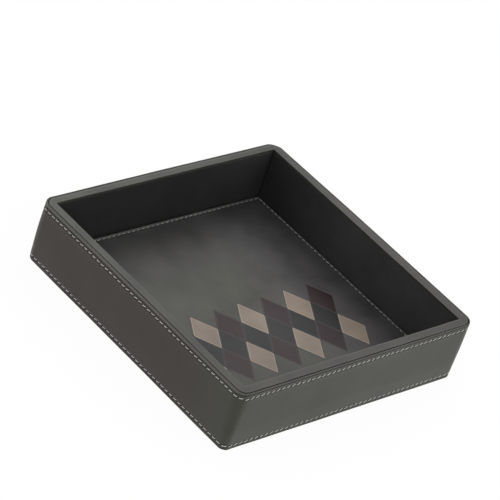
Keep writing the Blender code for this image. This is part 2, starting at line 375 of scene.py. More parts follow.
def add_bump(tree, strength, distance, height, **others):
    inputs = {"Strength": strength, "Distance": distance, "Height": height, **others}
    return add_node(tree, "ShaderNodeBump", inputs).outputs["Normal"]


def object_place(tree):
    return add_node(tree, "ShaderNodeTexCoord").outputs["Object"]


def grey(level):
    return (level, level, level)


def shade(colour, factor):
    return tuple(min(1.0, c * factor) for c in colour)


def add_mottled(tree, share, tint):
    """A tint that took unevenly."""
    return add_blend(tree, share, shade(tint, 0.3), shade(tint, 1.7))


def join(tree, shader, colour, roughness, relief):
    for socket, value in (("Base Color", colour), ("Roughness", roughness), ("Normal", relief)):
        tree.links.new(value, shader.inputs[socket])


def make_leather(name, colour, wear_and_sheen, roughness, ior=1.5, painted_light_drifts=(), patchy=0.1, grain=0.8 * MM):
    """Smooth calf leather: fine pebbles and pores, soft mottling, paler edges with wear and painted
    highlights, and painted shade, dark and dull, along crease lines, stitch grooves and gaps and at the
    foot.

    Each painted-light drift lightens or darkens its tone where light and shade fall: a direction, the
    distances that it starts and ends at, and its tone."""
    material, tree, shader = new_material(name)
    place = object_place(tree)
    warp = add_node(tree, "ShaderNodeTexNoise", {"Vector": place, "Scale": 1.5 / grain, "Detail": 3.0})
    warp = add_vector(tree, "SCALE", {0: warp.outputs["Color"], "Scale": 1.1 * grain})
    warped = add_vector(tree, "ADD", {0: place, 1: warp})
    pebbles = add_node(
        tree,
        "ShaderNodeTexVoronoi",
        {"Vector": warped, "Scale": 1 / grain, "Randomness": 1.0},
        feature="DISTANCE_TO_EDGE",
    ).outputs["Distance"]
    pebbles = add_range(tree, pebbles, 0.0, 0.26, 0.0, 1.0)
    pores = add_noise(tree, place, 2.6 / grain, 3.0, 0.6)
    mottle = add_noise(tree, place, 70.0, 5.0, 0.6)
    cloud = add_noise(tree, place, 22.0, 2.0)
    edge = add_mark(tree, "edge")
    crease = add_mark(tree, "crease")

    patches = add_noise(tree, warped, 38.0, 4.0, 0.55)
    patches = add_range(tree, patches, 0.36, 0.64, 0.5 - 0.5 * patchy, 0.5 + 0.5 * patchy)
    mottle = add_math(tree, "MULTIPLY", add_math(tree, "SUBTRACT", mottle, 0.5), 0.4)
    share = add_math(tree, "ADD", patches, mottle)
    tone = add_mottled(tree, share, colour)
    # Painted light: each drift lightens or darkens the tone where light and shade fall
    for way, start, end, tint in painted_light_drifts:
        along = add_vector(tree, "DOT_PRODUCT", {0: place, 1: way}, "Value")
        near = add_range(tree, along, start, end, 0.0, 1.0)
        tone = add_blend(tree, near, tone, add_mottled(tree, share, tint))
    between = add_range(tree, pebbles, 0.0, 0.6, 0.22, 0.0)
    tone = add_blend(tree, between, tone, shade(colour, 0.55))
    # Paler edges: some wear, and painted highlights
    tone = add_blend(tree, edge, tone, wear_and_sheen)
    # Painted shade along crease lines, stitch grooves and gaps and at the foot
    tone = add_blend(tree, crease, tone, shade(colour, 0.2))

    dull = add_range(tree, cloud, 0.25, 0.75, roughness + 0.05, roughness - 0.05)
    dull = add_math(tree, "SUBTRACT", dull, add_math(tree, "MULTIPLY", edge, 0.10))
    dull = add_math(tree, "ADD", dull, add_math(tree, "MULTIPLY", crease, 0.45))

    fine = add_math(tree, "MULTIPLY", pores, 0.5)
    fine = add_math(tree, "ADD", add_math(tree, "MULTIPLY", pebbles, 0.6), fine)
    relief = add_bump(tree, 0.5, 1.2 * MM, cloud)
    relief = add_bump(tree, 0.35, 0.06 * MM, fine, Normal=relief)
    shader.inputs["IOR"].default_value = ior
    join(tree, shader, tone, dull, relief)
    return material


def make_thread(name, colour):
    """Waxed linen thread: pale plies with darker fibres, and painted shade in the grooves between the
    plies.
    """
    material, tree, shader = new_material(name)
    place = object_place(tree)
    fibres = add_noise(tree, place, 9000.0, 3.0, 0.7)
    tint = add_noise(tree, place, 260.0, 2.0)
    tone = add_blend(tree, tint, shade(colour, 0.82), shade(colour, 1.12))
    tone = add_blend(tree, add_range(tree, fibres, 0.35, 0.65, 0.3, 0.0), tone, shade(colour, 0.55))
    # Painted shade in the grooves between the plies
    tone = add_blend(tree, add_mark(tree, "edge"), tone, shade(colour, 0.42))
    dull = add_range(tree, fibres, 0.3, 0.7, 0.50, 0.72)
    join(tree, shader, tone, dull, add_bump(tree, 0.3, 0.02 * MM, fibres))
    shader.inputs["Sheen Weight"].default_value = 0.15
    return material


def make_felt(name, colour):
    """Pressed felt: matted fibres that run every way, with lighter lint."""
    material, tree, shader = new_material(name)
    place = object_place(tree)
    fibres = add_noise(tree, add_stretch(tree, place, (1.0, 0.35, 1.0)), 1500.0, 6.0, 0.75)
    clumps = add_noise(tree, place, 180.0, 3.0)
    tone = add_blend(tree, clumps, shade(colour, 0.75), shade(colour, 1.25))
    tone = add_blend(tree, add_range(tree, fibres, 0.5, 0.75, 0.0, 0.5), tone, shade(colour, 2.2))
    dull = add_range(tree, clumps, 0.3, 0.7, 0.88, 0.98)
    height = add_math(tree, "ADD", fibres, add_math(tree, "MULTIPLY", clumps, 0.6))
    join(tree, shader, tone, dull, add_bump(tree, 0.8, 0.25 * MM, height))
    shader.inputs["Sheen Weight"].default_value = 0.25
    return material


def make_board(name, colour):
    """Fibre board: pressed pulp with flecks, and faint layers up its edge."""
    material, tree, shader = new_material(name)
    place = object_place(tree)
    pulp = add_noise(tree, place, 900.0, 5.0, 0.7)
    plies = add_noise(tree, add_stretch(tree, place, (0.08, 0.08, 1.0)), 2400.0, 2.0)
    flecks = add_noise(tree, place, 2600.0, 1.0)
    tone = add_blend(tree, pulp, shade(colour, 0.8), shade(colour, 1.2))
    tone = add_blend(tree, add_range(tree, flecks, 0.62, 0.7, 0.0, 0.6), tone, shade(colour, 0.4))
    tone = add_blend(tree, add_range(tree, plies, 0.4, 0.6, 0.0, 0.25), tone, shade(colour, 0.7))
    dull = add_range(tree, pulp, 0.3, 0.7, 0.78, 0.92)
    join(tree, shader, tone, dull, add_bump(tree, 0.5, 0.08 * MM, pulp))
    return material


# Band and rim

def spread_rows(middle, reach, steps):
    """Distances on both sides of a line, closer together near it."""
    share = np.linspace(0, 1, steps + 1)[1:] ** 1.3
    return np.concatenate([middle - share[::-1] * reach, [middle], middle + share * reach])


def stitch_columns(count, pitch):
    """Distances along a row of stitches, closer together near the needle holes."""
    steps = np.array([-1.1, -0.75, -0.45, 0, 0.45, 0.75, 1.1]) * MM
    return (np.arange(count + 1)[:, None] * pitch + steps).reshape(-1)


def by_heading(ahead, values):
    """A value that goes from that of rows along X to that of rows along Y."""
    return values[0] + (values[1] - values[0]) * np.abs(ahead[..., 1])


def seam_pull(aside, along, pitch, reach, slant):
    """How deep the leather is drawn in by a row of slanted stitches, with a pit at both ends of each."""
    to_hole = (along / pitch + 0.5) % 1.0 * pitch - 0.5 * pitch
    half = 0.5 * pitch * PIT_REACH * reach
    back = 0.5 * pitch - half
    rise = np.tan(np.radians(slant)) * half
    groove = GROOVE_DEPTH * bell(aside, GROOVE_WIDTH)
    first = bell(aside - rise, PIT_WIDTH) * bell(to_hole + back, PIT_WIDTH)
    second = bell(aside + rise, PIT_WIDTH) * bell(to_hole - back, PIT_WIDTH)
    puff = PUFF_HEIGHT * bell(np.abs(aside) - PUFF_AWAY, PUFF_WIDTH)
    return groove + PIT_DEPTH * np.maximum(first, second) - puff


def row_height(node):
    """The level of a row of stitches."""
    low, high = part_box(node)
    return 0.5 * (low.z + high.z)


def row_drop(path, walked, on_left, on_front):
    """How far a row hangs below its level, as it wanders along the left and the front."""
    point, _, _ = path.at(walked)
    left = np.interp(point[..., 1], *on_left)
    front = np.interp(point[..., 0], *on_front)
    drops = (on_left[1][-1], left, front, on_front[1][-1])
    return sum(by_side(path, walked, share) * drop for share, drop in zip(np.eye(4), drops))


def band_section(high, upper, lower, crease):
    """Points round the band's section, and which of them are its turned-in lip and its back."""
    foot_top, face_top = BAND_FOOT + FOOT_ROUND, high.z - LIP_ROUND
    rows = np.concatenate([
        np.linspace(foot_top, face_top, 14),
        spread_rows(upper, 2.0 * MM, 7),
        spread_rows(lower, 1.6 * MM, 6),
        spread_rows(crease, 0.75 * MM, 5),
    ])
    rows = np.unique(np.round(rows[(rows >= foot_top) & (rows <= face_top)], 5))
    face = np.stack([np.zeros(len(rows)), rows], axis=-1)
    lip = arc((-LIP_ROUND, face_top), LIP_ROUND, 10, 90, 7)

    inner = -BAND_THICKNESS
    board_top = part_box("rear_wall_board")[1].z
    lip_foot, back_top = board_top + 0.25 * MM, board_top + 0.06 * MM
    turned_in = np.concatenate([
        arc((inner + LIP_INNER_ROUND, high.z - LIP_INNER_ROUND), LIP_INNER_ROUND, 90, 180, 5),
        [(inner, lip_foot), (inner - LIP_TUCK, lip_foot), (inner - LIP_TUCK, back_top)],
    ])
    back = [(inner, back_top), (inner, foot_top), (inner + FOOT_ROUND, BAND_FOOT)]
    foot = arc((-FOOT_ROUND, foot_top), FOOT_ROUND, -90, -12, 4)
    ends = np.cumsum([len(face) + len(lip), len(turned_in), len(back)])
    profile = np.concatenate([face, lip, turned_in, back, foot])
    return profile, slice(ends[0], ends[1]), slice(ends[1], ends[2])


def make_band(leather):
    """The leather strip round the outer walls, folded flat at the lip, with its ends butted at the rear."""
    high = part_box("outer_band")[1]
    path = RoundedSquare(high.x, BAND_CORNER)
    pitch = path.length / BAND_STITCHES
    walked = stitch_columns(BAND_STITCHES, pitch)
    near_end = 0.6 * MM
    ends = np.array([0.5 * BAND_SEAM, 0.24 * MM, 0.38 * MM, 0.55 * MM])
    walked = walked[(walked > near_end) & (walked < path.length - near_end)]
    walked = np.concatenate([ends, walked, path.length - ends[::-1]])

    upper = row_height("upper_stitching")
    lower = row_height("lower_stitching")
    crease = high.z - CREASE_DROP
    profile, on_lip, on_back = band_section(high, upper, lower, crease)
    across, level = profile[:, :1], profile[:, 1:]
    out = np.repeat(across, len(walked), axis=1)
    height = np.repeat(level, len(walked), axis=1)
    along = np.broadcast_to(walked, out.shape)
    on_face = (across > -0.15 * MM).astype(float)
    ahead = path.at(walked)[2]
    shape = by_heading(ahead, BAND_REACHES), by_heading(ahead, BAND_SLANTS)
    from_end = np.minimum(along, path.length - along) - BAND_SEAM / 2
    pull = CREASE_DEPTH * bell(height - crease, CREASE_WIDTH)
    pull += 0.07 * MM * unevenness(height, along, 3, 45 * MM, path.length)
    pull += 0.3 * MM * np.clip(1 - from_end / (0.5 * MM), 0, 1) ** 2
    # Painted shade on the crease line, beside each row of stitches and at the foot
    painted_shade = 0.9 * bell(height - crease, 0.24 * MM)
    drop = by_side(path, walked, CREASE_SHIFTS) * bell(height - crease, 1.0 * MM)
    for row, drops in ((upper, UPPER_DROPS), (lower, LOWER_DROPS)):
        pull += seam_pull(height - row, along, pitch, *shape)
        painted_shade += 0.6 * bell(height - row, 0.45 * MM)
        near = np.minimum(1.0, 1.5 * bell(height - row, 1.5 * MM))
        drop += row_drop(path, walked, *drops) * near
    painted_shade = np.maximum(np.clip(painted_shade, 0, 1), 0.7 * bell(height, 0.6 * MM))

    out -= pull * on_face
    out[on_lip] -= by_side(path, walked, LIP_WIDTHS) - BAND_THICKNESS
    on_wall = np.ones((len(profile), 1))
    on_wall[on_back] = 0
    out += wall_shift(path, along, height) * on_wall
    on_top = bell(level - high.z, 0.3 * MM)
    sink = 0.03 * MM * (1 + unevenness(0, along, 4, 30 * MM, path.length)) * on_top
    points = sweep(path, walked, out, height - drop * on_face - sink)

    # Painted highlight on the lip, and painted light bounced from the floor, low on the face
    below_lip = high.z - level
    lip_highlight = np.clip((LIP_SHEEN_REACH - below_lip) / (0.25 * MM), 0, 1)
    lip_highlight *= np.interp(below_lip, (0, LIP_ROUND), (0.12, 1)) * (across > -0.6 * MM)
    edge = by_side(path, walked, LIP_SHEEN) * lip_highlight
    on_foot = bell(level - FOOT_SHEEN_HEIGHT, FOOT_SHEEN_WIDTH) * on_face
    edge += by_side(path, walked, FOOT_SHEEN) * on_foot
    # Painted shade in the gap between the lip and the rim
    in_gap = np.zeros((len(profile), 1))
    in_gap[on_lip.start + 2:on_lip.stop] = 1
    marks = {"edge": edge, "crease": np.maximum(painted_shade * on_face, in_gap)}
    faces = skin(len(profile), len(walked), wrap_rows=True, capped=True)
    add_piece("band_leather", points, faces, leather, "charcoal_leather", ["outer_band"], **marks)


def make_rim(leather):
    """The frame of leather on top of the walls, in one piece round the corners."""
    low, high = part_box("rim_leather")
    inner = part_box("right_lining")[0].x
    path = RoundedSquare(inner, RIM_INNER_CORNER)
    width = high.x - inner
    straight = np.linspace(0, 2 * path.straight, 131)
    corner = 2 * path.straight + np.linspace(0, 1, 13)[1:-1] * (path.side - 2 * path.straight)
    starts = np.arange(4) * path.side - path.straight
    walked = (starts[:, None] + np.concatenate([straight, corner])).reshape(-1)

    round_in, round_out = RIM_INNER_ROUND, RIM_OUTER_ROUND
    top = np.linspace(round_in, width - round_out, 9)[1:-1]
    profile = np.concatenate([
        [(0.35 * MM, low.z), (0.1 * MM, low.z + 0.05 * MM), (0.0, low.z + 0.2 * MM)],
        arc((round_in, high.z - round_in), round_in, 180, 90, 8),
        np.stack([top, np.full(len(top), high.z)], axis=-1),
        arc((width - round_out, high.z - round_out), round_out, 90, 0, 6),
        [(width, low.z + 0.15 * MM), (width - 0.15 * MM, low.z)],
    ])
    across, height = profile[:, :1], profile[:, 1:]
    on_top = np.clip((height - low.z) / (high.z - low.z), 0, 1) ** 2
    sink = 0.05 * MM * (1 + unevenness(across, walked, 7, 26 * MM, path.length)) * on_top
    closing = np.interp(path.at(walked)[0][:, 0], *GAP_CLOSING)
    narrowed = by_side(path, walked, LIP_WIDTHS) + by_side(path, walked, LIP_GAPS) * closing
    narrowed -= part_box("outer_band")[1].x - high.x
    outer_shift = wall_shift(path, walked, high.z) - narrowed
    points = sweep(path, walked, across * (1 + outer_shift / width), height - sink)
    for axis, overhang in ((0, RIM_OVERHANG_LEFT), (1, RIM_OVERHANG_FRONT)):
        points[..., axis] += np.interp(points[..., axis], (low.x, -inner, 0), (0, overhang, 0))
    points[..., 1] += np.interp(points[..., 1], (0, inner, high.x), (0, RIM_SETBACK_REAR, 0))
    on_right = np.interp(points[..., 0], (0, inner, high.x), (0, 1, 0))
    points[..., 0] -= on_right * np.interp(points[..., 1], *RIM_OVERHANG_RIGHT)

    # Painted highlights along the rim's inner and outer edges
    edge = by_side(path, walked, RIM_INNER_SHEEN) * bell(across - 0.2 * MM, 0.45 * MM)
    edge += by_side(path, walked, RIM_OUTER_SHEEN) * bell(across - width + 0.6 * MM, 0.6 * MM)
    edge *= height > low.z + 0.3 * MM
    # Painted shade in the gap between the rim and the lip
    in_gap = np.clip((across - width + 0.6 * round_out) / (0.3 * round_out), 0, 1)
    marks = {"edge": edge, "crease": np.broadcast_to(in_gap, edge.shape)}
    faces = skin(len(profile), len(walked), wrap_rows=True, wrap_columns=True)
    add_piece("rim_frame", points, faces, leather, "charcoal_leather", ["rim_leather"], **marks)


# Linings

def make_lining(side, turn, leather):
    """The leather on the inner face of one wall, mitred where it meets the next."""
    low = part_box(f"{side}_lining")[0]
    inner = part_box("right_lining")[0].x
    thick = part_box("right_lining")[1].x - inner
    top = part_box("rim_leather")[0].z - 0.08 * MM
    heights = np.linspace(low.z + LINING_ROUND, top - LINING_ROUND, 15)
    profile = np.concatenate([
        np.stack([np.zeros(len(heights)), heights], axis=-1),
        arc((LINING_ROUND, top - LINING_ROUND), LINING_ROUND, 160, 90, 4),
        [(thick, top), (thick, low.z)],
        arc((LINING_ROUND, low.z + LINING_ROUND), LINING_ROUND, 270, 200, 4),
    ])
    half = np.concatenate([np.linspace(0, 0.98, 41), 1 - np.array([1.2, 0.7, 0.4, 0.15, 0]) * MM / inner])
    share = np.concatenate([-half[:0:-1], half])
    waves = unevenness(profile[:, 1:], share * inner, 11 + turn, 50 * MM)
    from_end = (1 - np.abs(share)) * inner
    depth = profile[:, :1] + 0.05 * MM * (1 + waves)
    depth += 0.25 * MM * np.clip(1 - from_end / (0.7 * MM), 0, 1) ** 2
    depth = np.where(profile[:, :1] >= thick, thick, depth)
    along = share * (inner + depth - 0.12 * MM)
    height = np.repeat(profile[:, 1:], len(share), axis=1)
    points = quarter_turned(np.stack([along, inner + depth, height], axis=-1), turn)
    faces = skin(len(profile), len(share), wrap_rows=True, capped=True)
    add_piece(f"{side}_wall_lining", points, faces, leather, "charcoal_leather", [f"{side}_lining"])


# Floor and inlay

def inlay_outline():
    """The zigzag outline that the three rows of lozenges make together, counterclockwise."""
    half_width, half_depth = LOZENGE_WIDTH / 2, LOZENGE_DEPTH / 2
    outer_row, middle_row = INLAY_ROWS[0][0], INLAY_ROWS[1][0]
    middle = INLAY_FRONT + 2 * half_depth
    front = []
    for x in range(-outer_row, outer_row + 1):
        front.append((x * half_width, INLAY_FRONT + (0 if x % 2 == 0 else half_depth)))
    rear = [(x, 2 * middle - y) for x, y in reversed(front)]
    return front + [(middle_row * half_width, middle)] + rear + [(-middle_row * half_width, middle)]


def offset_outline(points, distance):
    """A closed outline moved outwards by a distance, with mitred corners."""
    points = np.asarray(points, float)
    before = unit(points - np.roll(points, 1, axis=0))
    after = unit(np.roll(points, -1, axis=0) - points)
    way = (before + after)[:, ::-1] * (1, -1)
    way /= 0.5 * (way * way).sum(axis=1)[:, None]
    return points + way * distance


def lay_seam(points):
    """Moves points near the floor's seam to where it was sewn: askew along the rear and the right."""
    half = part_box("floor_leather")[1].x
    places = (FLOOR_ROW - 12 * MM, FLOOR_ROW - 0.9 * MM, FLOOR_ROW + 0.7 * MM, half)
    x, y = points[..., 0], points[..., 1]
    forward = np.interp(y, places, (0, 1, 1, 0)) * np.interp(x, (-half, half), REAR_SEAM_DRIFT)
    leftward = np.interp(x, places, (0, 1, 1, 0)) * np.interp(y, (-half, half), RIGHT_SEAM_DRIFT)
    return points - np.stack([leftward, forward, 0 * x], axis=-1)


def floor_margin(half, top, bottom):
    """The rolled margin and the seam of the floor panel: rings of points, the wear and painted highlight on
    the welt, and the painted shade along the seam.
    """
    pitch = 2 * FLOOR_ROW / FLOOR_STITCHES
    share = stitch_columns(FLOOR_STITCHES, pitch) / FLOOR_ROW - 1
    share = np.concatenate([[-1], share[(share > -0.999) & (share < 0.999)]])

    seam = half - FLOOR_ROW
    margin = [FLOOR_MARGIN - 1.0 * MM, FLOOR_MARGIN]
    insets = np.array([3.3, 4.0, 5.0, 6.5, 9.0]) * MM
    insets = np.concatenate([spread_rows(seam, 1.15 * MM, 6), insets, margin])
    insets = np.unique(insets[insets > FLOOR_ROUND])
    profile = np.concatenate([
        [(0.15 * MM, bottom), (0.0, bottom + 0.15 * MM)],
        arc((FLOOR_ROUND, top - FLOOR_ROUND), FLOOR_ROUND, 180, 90, 6),
        np.stack([insets, np.full(len(insets), top)], axis=-1),
    ])
    inset, height = profile[:, :1], profile[:, 1:]
    along = (share + 1) * FLOOR_ROW
    fade = np.clip((FLOOR_MARGIN - 1.5 * MM - inset) / (4 * MM), 0, 1)
    x = (half - inset) * share
    y = np.repeat(inset - half, len(share), axis=1)
    on_top = height > bottom + 0.5 * MM

    # The sides are made from the front on, past the right
    welts = np.roll(FLOOR_WELTS, -2)
    seam_shades = np.roll(FLOOR_SEAM_SHADES, -2)
    sides, wear_and_sheen, painted_shade = [], [], []
    for turn in range(4):
        ends = [0.5 * (welts[turn] + welts[(turn + step) % 4]) for step in (-1, 1)]
        welt = np.interp(share, (-1, -0.96, 0.96, 1), (ends[0], welts[turn], welts[turn], ends[1]))
        pull = seam_pull(inset - seam, along, pitch, FLOOR_REACHES[turn % 2], FLOOR_SLANTS[turn % 2])
        rise = welt * bell(inset - 0.75 * MM, 0.55 * MM) + 0.10 * MM * bell(inset - 3.6 * MM, 1.6 * MM)
        z = height + (rise - pull * fade) * on_top
        sides.append(quarter_turned(np.stack([x, y, z], axis=-1), turn))
        # Painted highlight on the welt, stronger where it stands higher, and painted shade along the seam
        wear_and_sheen.append((0.1 + 0.4 * welt / max(welts)) * bell(inset - 0.7 * MM, 0.7 * MM) * on_top)
        painted_shade.append(seam_shades[turn] * bell(inset - seam - 0.2 * MM, 0.8 * MM) + 0 * share)
    ring = lay_seam(np.concatenate(sides, axis=1))
    return ring, np.concatenate(wear_and_sheen, axis=1), np.concatenate(painted_shade, axis=1)


def fill_between(built, outer, inner):
    """Flat faces between two loops of points."""
    edges = []
    for loop in (outer, inner):
        for first, second in zip(loop, loop[1:] + loop[:1]):
            edges.append(built.edges.get((first, second)) or built.edges.new((first, second)))
    bmesh.ops.triangle_fill(built, edges=edges, use_beauty=True)


def make_floor(leather):
    """The stitched floor panel, with a soft-edged window for the inlay."""
    low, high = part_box("floor_leather")
    top, bottom = high.z, low.z
    ring, wear_and_sheen, painted_shade = floor_margin(high.x, top, bottom)
    rows, around = ring.shape[:2]
    built = bmesh.new()
    wear_and_sheen_layer = built.verts.layers.float.new("edge")
    painted_shade_layer = built.verts.layers.float.new("crease")
    verts = [built.verts.new(p) for p in ring.reshape(-1, 3)]
    for face in skin(rows, around, wrap_columns=True):
        built.faces.new([verts[i] for i in face])
    for vert, edge, crease in zip(verts, wear_and_sheen.reshape(-1), painted_shade.reshape(-1)):
        vert[wear_and_sheen_layer] = edge
        vert[painted_shade_layer] = crease

    outline = inlay_outline()
    steps = [
        (INLAY_GAP + INLAY_ROUND + 0.5 * MM, top),
        (INLAY_GAP + INLAY_ROUND, top),
        *arc((INLAY_GAP + INLAY_ROUND, top - INLAY_ROUND), INLAY_ROUND, 105, 180, 4),
        (INLAY_GAP, bottom + 0.2 * MM),
        (INLAY_GAP, bottom),
    ]
    loops = []
    for grow, z in steps:
        loops.append([built.verts.new((x, y, z)) for x, y in offset_outline(outline, grow)])
    # Painted highlight on the window's rounded edge
    for vert in loops[2] + loops[3]:
        vert[wear_and_sheen_layer] = 0.5
    count = len(outline)
    for upper, lower in zip(loops, loops[1:]):
        for i in range(count):
            built.faces.new((upper[i], upper[(i + 1) % count], lower[(i + 1) % count], lower[i]))

    fill_between(built, verts[(rows - 1) * around:], loops[0])
    fill_between(built, verts[:around], loops[-1])
    bmesh.ops.recalc_face_normals(built, faces=built.faces)
    mesh = bpy.data.meshes.new("floor_panel")
    built.to_mesh(mesh)
    built.free()
    place_piece("floor_panel", mesh, leather, ["floor_leather"])


def make_lozenge(name, node, centre, leather, slot):
    """One inlaid piece of leather: a soft-edged lozenge, very slightly crowned."""
    low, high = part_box(node)
    corners = np.array([
        (LOZENGE_WIDTH / 2, 0), (0, LOZENGE_DEPTH / 2), (-LOZENGE_WIDTH / 2, 0), (0, -LOZENGE_DEPTH / 2)
    ])
    before = unit(np.roll(corners, 1, axis=0) - corners)[:, None]
    after = unit(np.roll(corners, -1, axis=0) - corners)[:, None]
    t = np.linspace(0, 1, 8)[:, None]
    outline = corners[:, None] + LOZENGE_CUT * (before * (1 - t) ** 2 + after * t ** 2)
    outline = outline.reshape(-1, 2)
    profile = np.array([
        (0.0, low.z),
        *arc((INLAY_ROUND, high.z - INLAY_ROUND), INLAY_ROUND, 180, 90, 5),
        (INLAY_ROUND + 0.15 * MM, high.z),
        (1.0 * MM, high.z + 0.02 * MM),
        (2.5 * MM, high.z + 0.04 * MM),
        (5.5 * MM, high.z + 0.04 * MM),
    ])
    inset, height = profile[:, :1], profile[:, 1:]
    inner_radius = (LOZENGE_WIDTH * LOZENGE_DEPTH) / (2 * math.hypot(LOZENGE_WIDTH, LOZENGE_DEPTH))
    scale = 1 - (inset + INLAY_GAP) / inner_radius
    points = lift(outline * scale[..., None] + np.array(centre), height)
    # Painted highlight along the lozenge's rounded edge
    edge = np.repeat(0.9 * bell(inset - 0.15 * MM, 0.25 * MM), len(outline), axis=1)
    faces = skin(len(profile), len(outline), wrap_columns=True, capped=True)
    add_piece(name, points, faces, leather, slot, [node], edge=edge)


def make_inlay(leathers):
    """Three rows of lozenges in three colours."""
    counts = dict.fromkeys(leathers, 0)
    for row, (count, colours) in enumerate(INLAY_ROWS):
        for i in range(count):
            colour = colours[i % 2]
            counts[colour] += 1
            number = counts[colour]
            name, node = f"{colour}_lozenge_{number}", f"inlay_{colour}_{number}"
            centre = ((i - (count - 1) / 2) * LOZENGE_WIDTH, INLAY_FRONT + (row + 1) * LOZENGE_DEPTH / 2)
            make_lozenge(name, node, centre, leathers[colour], f"{colour}_leather")


# Thread

def make_stitches(name, node, count, pitch, frames, thread, seed, reaches, slants):
    """A row of separate slanted stitches of three-ply thread.

    frames gives the points along the row, with the ways aside, out and ahead there."""
    random = np.random.default_rng(seed)
    rings, spokes = 21, 15
    t = np.sin(np.linspace(-1, 1, rings) * math.pi / 2)
    dive = np.clip((np.abs(t) - 0.7) / 0.3, 0, 1) ** 1.5
    middle = (np.arange(count)[:, None] + 0.5) * pitch
    heading = frames(middle)[3]
    reach = 0.5 * pitch * by_heading(heading, reaches) * random.normal(1, 0.045, count)[:, None]
    slant = np.radians(by_heading(heading, slants) + random.normal(0, 2.4, count)[:, None])
    rise = 0.5 * THREAD_WIDTH * random.normal(0.45, 0.06, count)[:, None]
    sway = random.normal(0, 0.05 * MM, count)[:, None]
    along = middle + t * reach
    aside = np.tan(slant) * t * reach + sway
    height = rise * (1 - 0.3 * t ** 2) - 0.85 * MM * dive
    slope = np.arctan2(np.gradient(height, axis=1), np.gradient(along, axis=1))
    point, side, out, ahead = frames(along)
    spoke = np.arange(spokes) * 2 * math.pi / spokes
    angle = spoke - (along - along[:, :1])[..., None] * 2 * math.pi / (3 * PLY_LENGTH)
    lobes = np.cos(3 * spoke)
    radius = 0.5 * THREAD_WIDTH * (1 + 0.12 * lobes) * (1 - 0.3 * np.abs(t) ** 4)[None, :, None]
    across = radius * np.cos(angle)
    above = 0.85 * radius * np.sin(angle)
    up = out * np.cos(slope)[..., None] - ahead * np.sin(slope)[..., None]
    centre = point + side * aside[..., None] + out * height[..., None]
    points = centre[:, :, None] + side[:, :, None] * across[..., None] + up[:, :, None] * above[..., None]
    faces = []
    for i in range(count):
        faces += skin(rings, spokes, wrap_columns=True, capped=True, first=i * rings * spokes)
    # Painted shade in the grooves between the plies
    ply_shade = np.clip(-lobes, 0, 1) ** 2 * np.ones((count, rings, 1))
    add_piece(name, points, faces, thread, "linen_thread", [node], edge=ply_shade)


def make_threads(thread, floor_thread):
    """The two rows on the band, and the row round the floor."""
    band = RoundedSquare(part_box("outer_band")[1].x, BAND_CORNER)

    def on_band(height, drops):
        def frames(along):
            point, way, ahead = band.at(along)
            stand = wall_shift(band, along, height) - BAND_THREAD_SINK
            point = lift(point + way * stand[..., None], height - row_drop(band, along, *drops))
            return point, upward(point), lift(way), lift(ahead)
        return frames

    pitch = band.length / BAND_STITCHES
    for place, drops, seed in (("upper", UPPER_DROPS, 21), ("lower", LOWER_DROPS, 22)):
        node = f"{place}_stitching"
        frames = on_band(row_height(node), drops)
        name = f"{place}_thread"
        make_stitches(name, node, BAND_STITCHES, pitch, frames, thread, seed, BAND_REACHES, BAND_SLANTS)

    row = RoundedSquare(FLOOR_ROW, 0.01 * MM)
    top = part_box("floor_leather")[1].z

    def on_floor(along):
        point, way, ahead = row.at(along - FLOOR_ROW)
        sunk = FLOOR_THREAD_SINK + by_side(row, along - FLOOR_ROW, (0, 0, 0, RIGHT_SEAM_SINK))
        point = lay_seam(lift(point, top - sunk))
        return point, -lift(way), upward(point), lift(ahead)

    count = 4 * FLOOR_STITCHES
    pitch = row.length / count
    shape = FLOOR_REACHES, FLOOR_SLANTS
    make_stitches("floor_thread", "floor_stitching", count, pitch, on_floor, floor_thread, 23, *shape)


# Felt

def make_felt_pad(felt):
    """The felt under the tray, with a soft cut edge."""
    low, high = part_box("underside_panel")
    path = RoundedSquare(high.x, BAND_CORNER + high.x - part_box("outer_band")[1].x)
    walked = np.linspace(0, path.length, 881)[:-1]
    soft = 0.3 * MM
    profile = np.concatenate([
        [(-30 * MM, low.z), (-2 * MM, low.z)],
        arc((-soft, low.z + soft), soft, -90, 0, 4),
        arc((-soft, high.z - soft), soft, 0, 90, 4),
        [(-2 * MM, high.z), (-30 * MM, high.z)],
    ])
    lumps = 0.05 * MM * unevenness(profile[:, 1:] * 8, walked, 31, 2.2 * MM, path.length)
    out = profile[:, :1] + np.minimum(lumps, 0.04 * MM) * (profile[:, :1] > -1 * MM)
    points = sweep(path, walked, out, profile[:, 1:])
    faces = skin(len(profile), len(walked), wrap_columns=True, capped=True)
    add_piece("felt_pad", points, faces, felt, "felt", ["underside_panel"])


# Studio and camera

